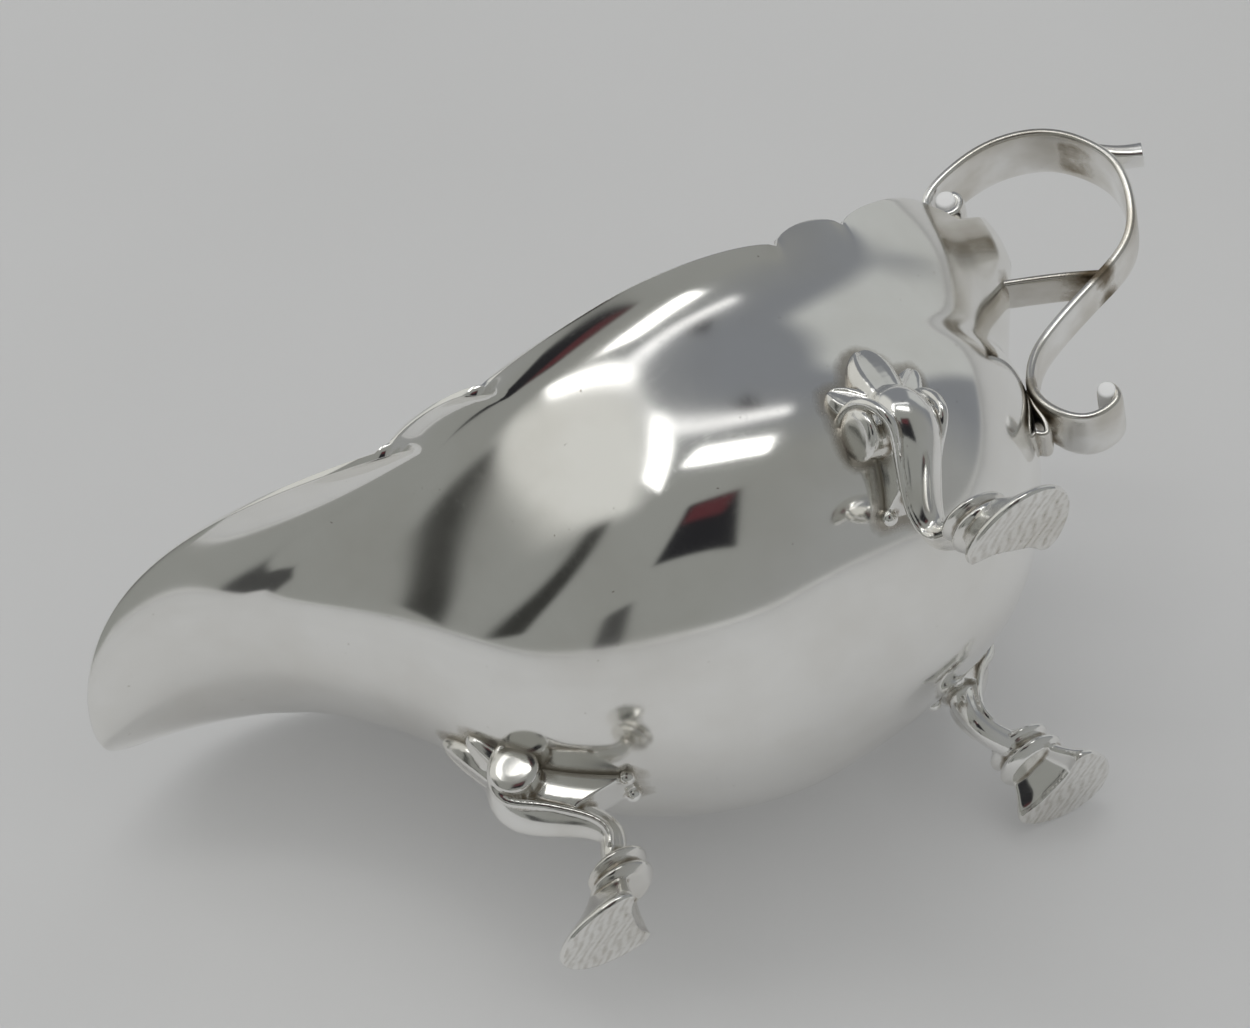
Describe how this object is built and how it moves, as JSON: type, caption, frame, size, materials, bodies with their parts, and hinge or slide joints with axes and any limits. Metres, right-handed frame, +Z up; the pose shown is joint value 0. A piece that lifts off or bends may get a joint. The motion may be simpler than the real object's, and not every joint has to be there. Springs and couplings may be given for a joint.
{
  "type": "sauce boat",
  "caption": "Small raised sauce boat with a long pouring lip, shaped wavy rim, double scroll strap handle and cast hoof feet with volute knees and applied leaves.",
  "frame": {"origin": "under the middle of the boat's overall length, at the level of the soles of the hooves", "axes": "+Z up from the soles to the rim, -X towards the pouring lip, +X towards the handle, -Y towards the port flank"},
  "size_m": [0.1728, 0.0906, 0.0755],
  "materials": {
    "polished_silver": "hand-polished sterling silver with fine scratches",
    "cast_silver": "cast silver, polished on the high places and tarnished in the recesses, soles left dull",
    "handle_silver": "silver strap, bright on its outer face and edges, yellow-brown tarnish inside the scrolls"
  },
  "bodies": {
    "root": {"bowl": "polished_silver", "front_leg": "cast_silver", "front_leaf": "cast_silver", "port_rear_leg": "cast_silver", "port_rear_leaf": "cast_silver", "starboard_rear_leg": "cast_silver", "starboard_rear_leaf": "cast_silver", "handle_scroll": "handle_silver", "handle_strut": "handle_silver", "handle_thumb_leaf": "handle_silver", "handle_foot_curl": "handle_silver"}
  },
  "joints": []
}
